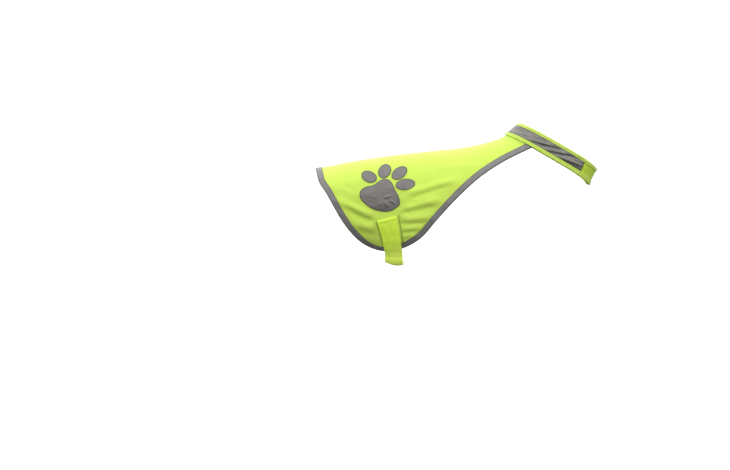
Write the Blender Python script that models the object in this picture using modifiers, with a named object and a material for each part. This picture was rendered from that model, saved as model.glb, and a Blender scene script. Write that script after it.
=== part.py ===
"""A dog safety vest in its worn shape, open at the neck, front, rear and belly.

A saddle-shaped panel of bright knit lies over the back. Grey tape binds its edge from the neck band,
round one side, across the rear and round the other side. A neck band with a reflective strip closes at
the throat, and a belly strap in two halves closes under the belly. Each side carries a paw motif of
five reflective pads.

Every piece lies on one smooth figure, a plain tube with egg-shaped sections. A point on it has a
station (the x of the section's top point) and an angle round the section, from 0 at the spine, through
90 degrees at a side, to 180 at the underside. Negative angles are the right side, at -Y.

Lengths are in millimetres until the meshes are made. +X is towards the neck, +Z is up. The origin is on
the inner face of the panel, on the spine, where the vest is held up.
"""

import math

import bmesh
import bpy
import numpy as np

MM = 0.001
GAP = 0.3  # between pieces that touch

# The figure. spine_x, spine_z: the section's top point. lean: degrees that the section's plane leans
# back. half_height, half_width: of the section.
FIGURE_COLUMNS = ("spine_x", "spine_z", "lean", "half_height", "half_width")
FIGURE = (
    (-230.0, -37.9, 2.0, 88.0, 80.0),
    (-130.0, -17.9, 1.0, 97.0, 87.0),
    (-30.0, -2.9, 0.0, 113.4, 92.0),
    (50.0, 5.85, 5.0, 123.5, 96.0),
    (120.0, 13.7, 17.0, 131.0, 97.0),
    (168.0, 24.6, 37.0, 121.0, 86.0),
    (206.8, 39.6, 58.9, 100.1, 71.5),
    (236.3, 63.1, 60.7, 91.4, 61.4),
    (251.3, 75.1, 61.4, 87.0, 56.2),
)
SQUARENESS = 2.35  # 2 is an ellipse, more is squarer

PANEL_THICK = 1.2
PANEL_REAR = -203.0  # station of the rear edge at the spine
# The panel's cut edge on each side, seen from the side, from the rear corner to the neck band.
HEM_COLUMNS = ("x", "z")
HEM = (
    (-196.0, -61.5),
    (-181.0, -83.2),
    (-165.2, -111.5),
    (-145.5, -145.2),
    (-120.2, -176.6),
    (-94.8, -196.8),
    (-65.0, -207.0),
    (-34.0, -207.5),
    (-3.8, -196.9),
    (21.3, -180.8),
    (55.6, -142.0),
    (98.4, -95.7),
    (149.7, -49.0),
    (201.6, -15.0),
    (260.5, 14.0),
)
HEM_CORNER = 3.0  # along each edge, from the rear corner to where the binding's inner edges meet
ROWS = 31  # grid lines across the panel
COLUMNS = 20  # cells from the cut edge to the spine
REAR_LAST = 0.97  # share of the rear edge, from the spine to a corner, at its last grid line
CROWDING = 1.2  # above 1 the cells are smaller towards the cut edge, where the folds are
SEAM_SHOWN = 2.5  # from the last grid line that shows to the neck band's lower edge

BINDING_WIDE = 12.0  # of each leg, and the turn round the edge adds to it
BINDING_THICK = 1.0
BINDING_LAY = 1.5  # from the panel's middle to each leg's
BINDING_TURN = 1.2  # from the cut edge out to the binding's middle

COLLAR_WIDE = 36.0
COLLAR_THICK = 1.2
COLLAR_LOW = 206.8  # station of the band's lower edge at the nape
COLLAR_LIFT = 7.0  # how far the band's sides ride up above its nape and throat
COLLAR_DIP = 8  # the power of the cosine that it drops with: the higher, the nearer to nape and throat
COLLAR_TUCK = 7.0  # how far the panel runs in under the band
COLLAR_LAY = 3.2  # from the panel's middle out to the band's
COLLAR_OVER = 7.8  # the same where the outer end lies on the inner one
COLLAR_OVERLAP = 18.0  # degrees past the throat that each end runs
COLLAR_RISE = 36.0  # degrees over which the outer end climbs onto the inner one
COLLAR_RISEN = 4.0  # degrees before the inner end by which it has climbed
COLLAR_STEP = 9.0  # degrees between grid lines
COLLAR_BINDING_WIDE = 6.0
COLLAR_BINDING_LAY = 1.4
TAPE_WIDE = 23.0
TAPE_THICK = 1.0
TAPE_REACH = 144.0  # degrees to each side of the nape

STRAP_WIDE = 38.0
STRAP_SPREAD = 5.0  # how much wider its sewn end is pressed
STRAP_SPREAD_LONG = 70.0  # length over which that dies away
STRAP_THICK = 1.2
STRAP_TOP = (-51.6, -141.2)  # middle of the sewn end, seen from the side
STRAP_UNDER = -32.0  # station where the strap crosses the underside
# From the sewn end down to the middle of the underside. along: from that end. out: from the panel's
# middle surface, or the figure's, to the strap's. The end is turned under. The strap then lies on the
# panel, steps over the binding, hangs clear of the figure and goes under it in a flat loop.
STRAP_COLUMNS = ("along", "out")
STRAP_LAY = (
    (8.0, 1.65),
    (0.5, 1.65),
    (-1.2, 2.4),
    (0.5, 3.15),
    (9.0, 3.15),
    (15.0, 1.75),
    (30.0, 1.75),
    (46.0, 1.75),
    (51.0, 3.25),
    (64.0, 3.25),
    (78.0, 3.25),
    (88.0, 7.5),
    (95.0, 11.5),
    (102.0, 13.0),
    (108.0, 11.0),
    (116.0, 8.0),
    (126.0, 5.5),
    (134.0, 4.0),
    (145.0, 3.0),
)
STRAP_SEWN_ROWS = 11  # of the table, down to where the hanging part starts
STRAP_CELL = 6.0  # length between grid lines of the hanging part
STRAP_OVERLAP = 38.0  # of the two halves, to each side of the middle
STRAP_OVER = 5.2  # the right half's middle above the left half's, where they overlap
STRAP_RISE = 24.0  # length over which it climbs there
STRAP_CUP = 6.0  # how far the loop's edges stand in from its middle
STRAP_TILT = 2.0  # how much further its rear edge stands in, and how much less its front edge
STRAP_CUP_LONG = 30.0  # length below the panel over which they come to
STRAP_CELLS_ACROSS = 4

PATCH_THICK = 1.0  # hook and loop
PATCH_GAP = 0.6  # to the end that it is sewn on
PATCH_INSET = 4.0

PAD_THICK = 1.0
PAD_LAY = 1.6  # from the panel's middle to a pad's
TOE_RINGS, TOE_SIDES = 2, 14
PALM_RINGS, PALM_SIDES = 4, 22
# The motif, seen from the side: an ellipse for each toe. turn: degrees anticlockwise of its long axis.
TOE_COLUMNS = ("name", "x", "z", "half_long", "half_short", "turn")
TOES = (
    ("toe_rear", -89.0, -50.5, 17.0, 12.2, -22.0),
    ("toe_upper", -55.5, -38.5, 16.0, 12.8, 52.0),
    ("toe_front", -23.8, -42.5, 18.8, 11.8, 35.0),
    ("toe_low", -11.0, -66.8, 21.0, 12.0, 7.0),
)
PALM = (-64.0, -94.0)  # middle of the large pad
PALM_TURN = -20.0
# The large pad's outline. turn: degrees anticlockwise from its front. reach: from its middle.
PALM_COLUMNS = ("turn", "reach")
PALM_OUTLINE = (
    (0.0, 44.0),
    (45.0, 34.5),
    (90.0, 41.0),
    (140.0, 30.0),
    (190.0, 46.0),
    (232.0, 34.0),
    (278.0, 29.5),
    (322.0, 35.4),
    (360.0, 44.0),
)

# Folds of the panel, seen from the side, on the right and left. x, z to x_end, z_end: its line. bow: how
# far that line arches up. half_wide: of the soft ridge or trough. rise: its height, which is negative in
# a trough. start, stop: the shares of its length over which it rises and dies away.
FOLD_COLUMNS = ("x", "z", "x_end", "z_end", "bow", "half_wide", "rise", "start", "stop")
FOLDS = {
    -1: (
        (-174.0, -92.0, -78.0, -137.5, -2.0, 9.0, 4.3, 0.45, 0.15),
        (-154.0, -112.0, -78.0, -151.0, -2.0, 8.0, -3.2, 0.5, 0.15),
        (-136.0, -146.0, -76.0, -165.5, 1.0, 8.5, 2.8, 0.5, 0.15),
        (-12.0, -88.5, 116.0, -54.5, 1.0, 9.5, 3.2, 0.15, 0.3),
        (-15.0, -121.5, 78.0, -95.5, 1.0, 9.5, 4.4, 0.15, 0.4),
        (-16.0, -143.5, 56.0, -132.5, -1.0, 8.5, 4.0, 0.15, 0.4),
    ),
    1: (
        (-164.0, -96.0, -78.0, -140.0, 2.0, 9.0, 4.0, 0.45, 0.15),
        (-146.0, -124.0, -78.0, -156.0, -2.0, 8.0, -2.8, 0.5, 0.15),
        (-12.0, -97.0, 106.0, -66.0, 1.0, 9.0, 3.0, 0.15, 0.3),
        (-18.0, -124.1, 66.0, -104.0, 2.0, 9.0, 4.2, 0.15, 0.4),
        (-16.0, -148.5, 50.0, -140.0, 1.0, 8.0, 3.4, 0.15, 0.4),
    ),
}

# Colour, roughness and metallic value of each material.
FINISHES = {
    "fluo_knit": ((0.72, 1.0, 0.12), 0.75, 0.0),
    "fluo_band": ((0.62, 0.9, 0.1), 0.65, 0.0),
    "reflective": ((0.24, 0.24, 0.24), 0.4, 0.3),
    "hook_loop": ((0.5, 0.75, 0.1), 0.9, 0.0),
}


def column(rows, columns, name):
    return np.array([row[columns.index(name)] for row in rows], float)


def spline(knots, values):
    """A smooth curve through a table: cubic pieces with matched slopes, and straight past its ends."""
    slopes = np.gradient(values, knots)

    def at(x):
        x = np.asarray(x, float)
        i = np.clip(np.searchsorted(knots, x) - 1, 0, len(knots) - 2)
        held = np.clip(x, knots[0], knots[-1])
        span = knots[i + 1] - knots[i]
        t = (held - knots[i]) / span
        return (
            values[i] * (1 + 2 * t) * (1 - t) ** 2
            + values[i + 1] * t**2 * (3 - 2 * t)
            + slopes[i] * span * t * (1 - t) ** 2
            - slopes[i + 1] * span * t**2 * (1 - t)
            + (x - held) * np.where(x < held, slopes[0], slopes[-1])
        )

    return at


FIGURE_X = column(FIGURE, FIGURE_COLUMNS, "spine_x")
SPINE_Z, LEAN, HALF_HEIGHT, HALF_WIDTH = (
    spline(FIGURE_X, column(FIGURE, FIGURE_COLUMNS, name)) for name in FIGURE_COLUMNS[1:]
)


def unit(v):
    return v / np.linalg.norm(v, axis=-1, keepdims=True)


def figure(station, angle):
    """Points of the figure. Both arguments are arrays or numbers, the angle in radians."""
    station, angle = np.broadcast_arrays(np.asarray(station, float), np.asarray(angle, float))
    lean = np.radians(LEAN(station))
    up_x, up_z = -np.sin(lean), np.cos(lean)
    high, wide = HALF_HEIGHT(station), HALF_WIDTH(station)
    power = SQUARENESS
    reach = (np.abs(np.cos(angle) / high) ** power + np.abs(np.sin(angle) / wide) ** power) ** (-1 / power)
    along_up = reach * np.cos(angle) - high
    return np.stack(
        (
            station + along_up * up_x,
            reach * np.sin(angle),
            SPINE_Z(station) + along_up * up_z,
        ),
        -1,
    )


def normal_of(surface, station, angle):
    """Outward normals of a surface, by small steps along it."""
    step = 1e-3
    along = surface(station + step * 100, angle) - surface(station - step * 100, angle)
    round_it = surface(station, angle + step) - surface(station, angle - step)
    return unit(np.cross(along, round_it))


def eased(t):
    t = np.clip(t, 0.0, 1.0)
    return t * t * (3 - 2 * t)


def fold_rise(point):
    """How far the folds lift the cloth at points of the figure."""
    total = np.zeros(point.shape[:-1])
    for side, rows in FOLDS.items():
        here = point[..., 1] * side > 0
        for x, z, x_end, z_end, bow, half_wide, rise, start, stop in rows:
            long = math.hypot(x_end - x, z_end - z)
            ahead = np.array([x_end - x, z_end - z]) / long
            off_x, off_z = point[..., 0] - x, point[..., 2] - z
            t = (off_x * ahead[0] + off_z * ahead[1]) / long
            across = off_z * ahead[0] - off_x * ahead[1] - 4 * bow * t * (1 - t)
            ends = eased(t / start) * eased((1 - t) / stop)
            total += here * rise * ends * np.exp(-((across / half_wide) ** 2))
    return total


def cloth(station, angle):
    """Points of the cloth's middle surface, with its folds."""
    plain = figure(station, angle)
    return plain + fold_rise(plain)[..., None] * normal_of(figure, station, angle)


def raised(station, angle, out):
    """Points that far outside the cloth's middle surface, and the normals there."""
    normals = normal_of(cloth, station, angle)
    return cloth(station, angle) + np.asarray(out)[..., None] * normals, normals


def from_side(x, z, side):
    """Stations and angles of the figure's points that show at x, z from one side. side is -1 or 1."""
    x, z = np.broadcast_arrays(np.asarray(x, float), np.asarray(z, float))
    station, angle = x.copy(), np.full(x.shape, math.radians(70.0) * side)
    for _ in range(40):
        here = figure(station, angle)
        by_station = (figure(station + 0.1, angle) - here) / 0.1
        by_angle = (figure(station, angle + 1e-3) - here) / 1e-3
        miss_x, miss_z = x - here[..., 0], z - here[..., 2]
        scale = by_station[..., 0] * by_angle[..., 2] - by_station[..., 2] * by_angle[..., 0]
        step = (miss_x * by_angle[..., 2] - miss_z * by_angle[..., 0]) / scale
        turn = (miss_z * by_station[..., 0] - miss_x * by_station[..., 2]) / scale
        station = station + np.clip(step, -25.0, 25.0)
        angle = side * np.clip(side * (angle + np.clip(turn, -0.3, 0.3)), 0.05, 3.0)
    return station, angle


def beside(station, angle, distance):
    """Stations and angles at a distance from a line on the figure, to the left as it is followed."""
    here = figure(station, angle)
    ahead = unit(np.gradient(here, axis=0))
    left = distance * np.cross(normal_of(figure, station, angle), ahead)
    by_station = figure(station + 0.5, angle) - figure(station - 0.5, angle)
    by_angle = (figure(station, angle + 5e-4) - figure(station, angle - 5e-4)) / 1e-3
    a, b, c = (np.sum(p * q, -1) for p, q in (
        (by_station, by_station), (by_station, by_angle), (by_angle, by_angle)
    ))
    p, q = np.sum(left * by_station, -1), np.sum(left * by_angle, -1)
    return station + (p * c - q * b) / (a * c - b * b), angle + (q * a - p * b) / (a * c - b * b)


# --- meshes -----------------------------------------------------------------------------------------


def finish(name):
    material = bpy.data.materials.get(name) or bpy.data.materials.new(name)
    colour, roughness, metallic = FINISHES[name]
    material.use_nodes = True
    shader = material.node_tree.nodes["Principled BSDF"]
    shader.inputs["Base Color"].default_value = (*colour, 1.0)
    shader.inputs["Roughness"].default_value = roughness
    shader.inputs["Metallic"].default_value = metallic
    return material


def sheet(name, points, out, thick, material, collection):
    """A cloth piece: a grid bent to an array of middle points, (rows, columns, 3), given its thickness.

    Each cell folds along the diagonal that stands further out, so pieces that share points lie parallel.
    """
    rows, columns = points.shape[:2]
    bm = bmesh.new()
    bmesh.ops.create_grid(bm, x_segments=columns - 1, y_segments=rows - 1, size=0.5)
    outward = {}
    for vert in bm.verts:
        row, column_at = round((vert.co.y + 0.5) * (rows - 1)), round((vert.co.x + 0.5) * (columns - 1))
        vert.co = points[row, column_at] * MM
        outward[vert.index] = out[row, column_at]
    for face in list(bm.faces):
        a, b, c, d = face.verts
        lift = np.array(a.co + c.co - b.co - d.co) @ sum(outward[vert.index] for vert in face.verts)
        bmesh.utils.face_split(face, *((a, c) if lift > 0 else (b, d)))
    bmesh.ops.remove_doubles(bm, verts=bm.verts, dist=1e-6)
    bmesh.ops.dissolve_degenerate(bm, dist=1e-6, edges=bm.edges)
    mesh = bpy.data.meshes.new(name)
    bm.to_mesh(mesh)
    bm.free()
    mesh.shade_smooth()
    mesh.materials.append(finish(material))
    piece = bpy.data.objects.new(name, mesh)
    collection.objects.link(piece)
    wall = piece.modifiers.new("Wall", "SOLIDIFY")
    wall.thickness = thick * MM
    wall.offset = 0.0
    wall.use_even_offset = True
    return piece


def channel(edge, inner, edge_out, inner_out, lay, turn):
    """Middle points of a binding folded over an edge: outer leg, the turn round the edge, inner leg."""
    away = unit(edge - inner)
    points = np.stack((
        inner + lay * inner_out,
        edge + lay * edge_out,
        edge + turn * away + 0.5 * lay * edge_out,
        edge + turn * away - 0.5 * lay * edge_out,
        edge - lay * edge_out,
        inner - lay * inner_out,
    ))
    return points, np.stack((inner_out, edge_out, edge_out, edge_out, edge_out, inner_out))


# --- the panel and its binding ----------------------------------------------------------------------


def collar_station(angle, up):
    """Station on the neck band at a distance up from its lower edge, at an angle round it."""
    probe = COLLAR_LOW + 10.0
    stretch = np.linalg.norm(figure(probe + 1.0, angle) - figure(probe, angle), axis=-1)
    return COLLAR_LOW + (COLLAR_LIFT * (1 - np.cos(angle) ** COLLAR_DIP) + up) / stretch


def hem_line(side):
    """Stations and angles along one side's cut edge, from the rear corner to the neck band."""
    x, z = column(HEM, HEM_COLUMNS, "x"), column(HEM, HEM_COLUMNS, "z")
    run = np.concatenate(([0.0], np.cumsum(np.hypot(np.diff(x), np.diff(z)))))
    at = np.append(0.0, np.linspace(HEM_CORNER, run[-1], ROWS - 2))
    return from_side(spline(run, x)(at), spline(run, z)(at), side)


def panel_coordinates():
    """Stations and angles of the panel's grid. Rows run across it, rear edge first. Columns run from the
    right cut edge over the spine to the left one. The outermost cells are as wide as the binding."""
    station, angle = np.zeros((2, ROWS, 2 * COLUMNS + 1))
    share = 1 - np.linspace(0.0, 1.0, COLUMNS) ** CROWDING
    spine = np.concatenate((
        [PANEL_REAR],
        np.linspace(PANEL_REAR + BINDING_WIDE, COLLAR_LOW - SEAM_SHOWN, ROWS - 2),
    ))
    for side, columns in ((-1, range(0, COLUMNS + 1)), (1, range(2 * COLUMNS, COLUMNS - 1, -1))):
        hem = hem_line(side)
        inner = beside(*hem, -side * BINDING_WIDE)
        first, *others = columns
        station[:-1, first], angle[:-1, first] = hem
        station[:-1, others] = spine[:, None] + (inner[0] - spine)[:, None] * share**2
        angle[:-1, others] = inner[1][:, None] * share
    rear = REAR_LAST * np.concatenate((-share, share[-2::-1]))
    corner = station[0, 0], abs(angle[0, 0])
    station[0, 1:-1] = PANEL_REAR + (corner[0] - PANEL_REAR) * rear**2
    angle[0, 1:-1] = corner[1] * rear
    station[1, 1:-1], angle[1, 1:-1] = beside(station[0, 1:-1], angle[0, 1:-1], -BINDING_WIDE)
    angle[-1] = angle[-2]
    station[-2] = collar_station(angle[-2], -SEAM_SHOWN)
    station[-1] = collar_station(angle[-1], COLLAR_TUCK)
    return station, angle


def build_panel(station, angle, collection):
    sheet("back_panel", *raised(station, angle, 0.0 * station), PANEL_THICK, "fluo_knit", collection)


def build_hem_binding(station, angle, collection):
    """The binding's edge and inner lines are lines of the panel's own grid."""
    last_row, last = ROWS - 2, 2 * COLUMNS
    right = [(row, 0) for row in range(last_row, 0, -1)]
    rear = [(0, column_at) for column_at in range(last + 1)]
    left = [(row, last) for row in range(1, last_row + 1)]
    rim = np.array(right + rear + left)
    inside = np.column_stack((np.clip(rim[:, 0], 1, None), np.clip(rim[:, 1], 1, last - 1)))
    points, out = cloth(station, angle), normal_of(cloth, station, angle)
    edge, inner = (tuple(line.T) for line in (rim, inside))
    legs = channel(points[edge], points[inner], out[edge], out[inner], BINDING_LAY, BINDING_TURN)
    sheet("hem_binding", *legs, BINDING_THICK, "reflective", collection)


# --- the neck band ----------------------------------------------------------------------------------


def collar_out(angle):
    """How far the band's middle lies outside the panel's: it climbs on the right, to close at the left."""
    climb = 180.0 - COLLAR_OVERLAP - COLLAR_RISE
    climbed = eased((-np.degrees(angle) - climb) / (COLLAR_RISE - COLLAR_RISEN))
    return COLLAR_LAY + (COLLAR_OVER - COLLAR_LAY) * climbed


def collar_points(angles, ups, out=0.0):
    """Points on the band: a row for each height, at an extra distance outside its middle."""
    angle, up = np.meshgrid(np.radians(angles), np.asarray(ups, float))
    station = collar_station(angle, up)
    points, normals = figure(station, angle), normal_of(figure, station, angle)
    return points + (collar_out(angle) + out)[..., None] * normals, normals


def collar_angles(start, stop):
    """Grid lines round the band in degrees, each a multiple of the step, and the ends."""
    inside = np.arange(math.ceil(start / COLLAR_STEP), math.floor(stop / COLLAR_STEP) + 1) * COLLAR_STEP
    return np.unique(np.round(np.concatenate(([start], inside, [stop])), 6))


def build_collar(collection):
    end = 180.0 + COLLAR_OVERLAP
    angles = collar_angles(-end, end)
    low, high = COLLAR_BINDING_WIDE, COLLAR_WIDE - COLLAR_BINDING_WIDE
    points, out = collar_points(angles, (0.0, low, high, COLLAR_WIDE))
    sheet("collar_band", points, out, COLLAR_THICK, "fluo_band", collection)
    for name, edge, inner in (("collar_binding_lower", 0, 1), ("collar_binding_upper", 3, 2)):
        legs = channel(
            points[edge], points[inner], out[edge], out[inner], COLLAR_BINDING_LAY, BINDING_TURN
        )
        sheet(name, *legs, BINDING_THICK, "fluo_band", collection)
    margin = (COLLAR_WIDE - TAPE_WIDE) / 2
    ups = (margin, COLLAR_WIDE - margin)
    tape_lay = (COLLAR_THICK + TAPE_THICK) / 2 + GAP
    patch_lay = (COLLAR_THICK + PATCH_THICK) / 2 + PATCH_GAP
    inset = COLLAR_OVERLAP - 2.0
    for name, start, stop, lay, thick, material in (
        ("collar_tape", -TAPE_REACH, TAPE_REACH, tape_lay, TAPE_THICK, "reflective"),
        ("collar_hook", -180.0 - inset, -180.0 + inset, -patch_lay, PATCH_THICK, "hook_loop"),
        ("collar_loop", 180.0 - inset, 180.0 + inset, patch_lay, PATCH_THICK, "hook_loop"),
    ):
        strip = collar_points(collar_angles(start, stop), ups, lay)
        sheet(name, *strip, thick, material, collection)


# --- the belly strap --------------------------------------------------------------------------------


def strap_line(side):
    """A function from the length along one half's middle line to its station and angle, and the length
    to the middle of the underside."""
    station, angle = from_side(*STRAP_TOP, side)
    station, angle = float(station), abs(float(angle))
    angles = np.linspace(angle - 0.1, math.pi + 0.7, 400)
    sunk = (math.cos(angle) - np.cos(angles)) / (math.cos(angle) + 1.0)
    stations = station + (STRAP_UNDER - station) * sunk
    steps = np.linalg.norm(np.diff(figure(stations, angles * side), axis=0), axis=-1)
    along = np.concatenate(([0.0], np.cumsum(steps)))
    along -= np.interp(angle, angles, along)

    def at(length):
        return np.interp(length, along, stations), side * np.interp(length, along, angles)

    return at, float(np.interp(math.pi, angles, along))


def strap_lay(lengths, middle, over):
    """The lay of a half's hanging part, the same on both sides of the middle, and over more where it lies
    outside the other half."""
    free = STRAP_LAY[STRAP_SEWN_ROWS - 1:]
    along, out = (column(free, STRAP_COLUMNS, name) for name in STRAP_COLUMNS)
    lay = spline(along, out)(np.minimum(lengths, 2 * middle - lengths))
    return lay + over * eased((lengths - (middle - STRAP_OVERLAP - STRAP_RISE)) / STRAP_RISE)


def strap_points(line, side, middle, lengths, outs, wide):
    """Points of a strip along a strap's middle line: a row for each length. A narrower strip bends where
    the strap does."""
    smooth = np.linspace(lengths.min() - 1.0, lengths.max() + 1.0, 300)
    spread = 1 + STRAP_SPREAD / STRAP_WIDE * (1 - np.clip(smooth / STRAP_SPREAD_LONG, 0.0, 1.0)) ** 2
    from_hem = np.minimum(lengths, 2 * middle - lengths) - STRAP_LAY[STRAP_SEWN_ROWS - 1][0]
    hangs = eased(from_hem / STRAP_CUP_LONG)
    shares = np.linspace(-1.0, 1.0, STRAP_CELLS_ACROSS + 1)
    bend = STRAP_CUP * shares**2 - STRAP_TILT * shares
    rows = []
    for share in np.clip(shares, -wide / STRAP_WIDE, wide / STRAP_WIDE):
        station, angle = beside(*line(smooth), share * STRAP_WIDE / 2 * spread[:, None])
        station, angle = (np.interp(lengths, smooth, values) for values in (station, angle))
        rows.append(raised(station, angle, outs - hangs * np.interp(-side * share, shares, bend)))
    return tuple(np.stack(values, 1) for values in zip(*rows))


def build_straps(collection):
    """The right half's end lies outside the left half's."""
    sewn = STRAP_LAY[:STRAP_SEWN_ROWS]
    sewn_along, sewn_out = (column(sewn, STRAP_COLUMNS, name) for name in STRAP_COLUMNS)
    overlap = np.linspace(-STRAP_OVERLAP, STRAP_OVERLAP, 9)
    patch = np.clip(overlap, PATCH_INSET - STRAP_OVERLAP, STRAP_OVERLAP - PATCH_INSET)
    patch_lay = (STRAP_THICK + PATCH_THICK) / 2 + PATCH_GAP
    for name, side, over, patch_name, patch_out in (
        ("strap_right", -1, STRAP_OVER, "strap_hook", -patch_lay),
        ("strap_left", 1, 0.0, "strap_loop", patch_lay),
    ):
        line, middle = strap_line(side)
        start, stop = sewn_along[-1], middle - STRAP_OVERLAP
        below = np.linspace(start, stop, math.ceil((stop - start) / STRAP_CELL) + 1)[1:-1]
        hanging = np.concatenate((below, middle + overlap))
        outs = np.concatenate((sewn_out, strap_lay(hanging, middle, over)))
        along = np.concatenate((sewn_along, hanging))
        half = strap_points(line, side, middle, along, outs, STRAP_WIDE)
        sheet(name, *half, STRAP_THICK, "fluo_band", collection)
        outs = strap_lay(middle + patch, middle, over) + patch_out
        strip = strap_points(line, side, middle, middle + patch, outs, STRAP_WIDE - 2 * PATCH_INSET)
        sheet(patch_name, *strip, PATCH_THICK, "hook_loop", collection)


# --- the paw motif ----------------------------------------------------------------------------------


def turned(flat, degrees):
    c, s = math.cos(math.radians(degrees)), math.sin(math.radians(degrees))
    return flat @ np.array([[c, s], [-s, c]])


def toe_outline(half_long, half_short, turn):
    around = np.linspace(0.0, 2 * math.pi, TOE_SIDES + 1)
    return turned(np.column_stack((half_long * np.cos(around), half_short * np.sin(around))), turn)


def palm_outline():
    turn = column(PALM_OUTLINE, PALM_COLUMNS, "turn")
    reach = spline(turn, column(PALM_OUTLINE, PALM_COLUMNS, "reach"))
    around = np.linspace(0.0, 360.0, PALM_SIDES + 1)
    radians = np.radians(around)
    flat = reach(around)[:, None] * np.column_stack((np.cos(radians), np.sin(radians)))
    return turned(flat, PALM_TURN)


def build_pad(name, outline, rings, middle, side, collection):
    """A pad: rings drawn in from its outline to its middle, laid on the panel."""
    share = np.linspace(0.0, 1.0, rings + 1)[:, None, None]
    flat = np.asarray(middle) + share * outline
    station, angle = from_side(flat[..., 0], flat[..., 1], side)
    laid = raised(station, angle, PAD_LAY + 0.0 * station)
    sheet(name, *laid, PAD_THICK, "reflective", collection)


def build_paws(collection):
    for side, word in ((-1, "right"), (1, "left")):
        build_pad(f"paw_{word}_palm", palm_outline(), PALM_RINGS, PALM, side, collection)
        for name, x, z, half_long, half_short, turn in TOES:
            outline = toe_outline(half_long, half_short, turn)
            build_pad(f"paw_{word}_{name}", outline, TOE_RINGS, (x, z), side, collection)


def main():
    for old in list(bpy.data.objects):
        bpy.data.objects.remove(old)
    collection = bpy.data.collections.new("dog_safety_vest")
    bpy.context.scene.collection.children.link(collection)
    station, angle = panel_coordinates()
    build_panel(station, angle, collection)
    build_hem_binding(station, angle, collection)
    build_collar(collection)
    build_straps(collection)
    build_paws(collection)


main()
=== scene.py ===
"""The safety vest as it looks: fluorescent knit, grey reflective tape, folds, wrinkles and sewing.

Every piece lies on the same figure as the solids that it stands for. A point on it has a station (the x
of the section's top point) and an angle round the section, from 0 at the spine to 180 at the underside,
negative on the right, at -Y. Lengths are in millimetres until the meshes are made.
"""

import math

import bpy
import numpy as np
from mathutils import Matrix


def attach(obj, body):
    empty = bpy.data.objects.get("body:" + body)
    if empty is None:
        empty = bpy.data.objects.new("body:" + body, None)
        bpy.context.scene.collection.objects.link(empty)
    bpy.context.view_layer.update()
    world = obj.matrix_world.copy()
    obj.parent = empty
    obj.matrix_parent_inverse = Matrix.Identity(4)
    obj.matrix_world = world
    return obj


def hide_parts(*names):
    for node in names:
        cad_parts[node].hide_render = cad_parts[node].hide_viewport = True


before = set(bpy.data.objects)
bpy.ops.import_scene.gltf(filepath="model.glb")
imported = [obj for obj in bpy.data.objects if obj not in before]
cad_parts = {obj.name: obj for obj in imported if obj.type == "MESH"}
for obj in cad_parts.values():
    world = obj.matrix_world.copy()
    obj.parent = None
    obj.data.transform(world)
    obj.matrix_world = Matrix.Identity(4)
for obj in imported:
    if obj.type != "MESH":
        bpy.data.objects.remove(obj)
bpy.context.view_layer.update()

MM = 0.001

# --- the figure ---
# The section's top point (x, z), the degrees that its plane leans back, its half height and half width.
FIGURE = (
    (-230, -37.9, 2, 88, 80),
    (-130, -17.9, 1, 97, 87),
    (-30, -2.9, 0, 113.4, 92),
    (50, 5.85, 5, 123.5, 96),
    (120, 13.7, 17, 131, 97),
    (168, 24.6, 37, 121, 86),
    (206.8, 39.6, 58.9, 100.1, 71.5),
    (236.3, 63.1, 60.7, 91.4, 61.4),
    (251.3, 75.1, 61.4, 87, 56.2),
)
SQUARENESS = 2.35  # of the sections: 2 is an ellipse

# --- the panel and its binding ---
PANEL_THICK = 0.9
PANEL_REAR = -203.0  # the rear edge at the spine
# The cut edge seen from the side (x, z), from the rear corner to the neck band.
HEM = (
    (-196, -61.5), (-181, -83.2), (-165.2, -111.5), (-145.5, -145.2), (-120.2, -176.6),
    (-94.8, -196.8), (-65, -207), (-34, -207.5), (-3.8, -196.9), (21.3, -180.8), (55.6, -142),
    (98.4, -95.7), (149.7, -49), (201.6, -15), (260.5, 14),
)
SEAM_SHOWN = 2.5  # how far below the neck band the panel turns in to run under it
PANEL_ROWS, PANEL_COLUMNS = 150, 84  # grid lines along, and cells on each side of the spine
PANEL_STRAIGHT = 0.8  # the share of its rows before it turns to meet the neck band
PANEL_TURNING = 90.0  # how far behind the neck band's edge that may change it
BINDING_WIDE = 12.0  # what shows of it
BINDING_THICK = 0.9
BINDING_LAY = 1.4  # of its legs, from the panel's middle surface
BINDING_TURN = 1.3  # how far its fold stands off the cut edge
BINDING_SWELL = 0.15  # of its legs, between their edges
BINDING_STEP = 2.6  # between its cross-sections
BINDING_SMOOTH = 3  # cross-sections over which the rear corners are rounded
BINDING_STITCH_IN = 1.8
JOIN_AT = (-157.0, -115.0)  # where one length of tape ends on the next, seen from the right
JOIN_WIDE, JOIN_RISE = 2.2, 0.5

# --- the neck band ---
COLLAR_WIDE = 36.0
COLLAR_THICK = 1.2
COLLAR_LOW = 206.8  # station of its lower edge at the spine
COLLAR_LIFT, COLLAR_DIP = 7.0, 8  # how far that edge rises beside the spine, and how sharply
COLLAR_TUCK = 7.0  # how far the panel runs in under the band
COLLAR_LAY, COLLAR_OVER = 3.2, 7.8  # its middle outside the figure, and where one end lies on the other
COLLAR_OVERLAP = 18.0  # degrees that each end runs past the throat
COLLAR_RISE, COLLAR_RISEN = 36.0, 4.0  # degrees before that where the outer end's climb starts and ends
COLLAR_STEP = 1.5  # degrees between its cross-sections
COLLAR_CELLS = 14  # across it
COLLAR_BINDING_WIDE = 6.0  # what shows of it
COLLAR_BINDING_LAY = 1.3
COLLAR_GROOVE, COLLAR_GROOVE_WIDE = 0.3, 0.15  # depth, and half width as a share of the binding's
COLLAR_STITCH_SUNK = 0.2
TAPE_WIDE = 23.0
TAPE_THICK = 0.8
TAPE_GAP = 0.25
TAPE_REACH = 144.0  # degrees from the spine
TAPE_STITCH_IN = 1.6

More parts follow.
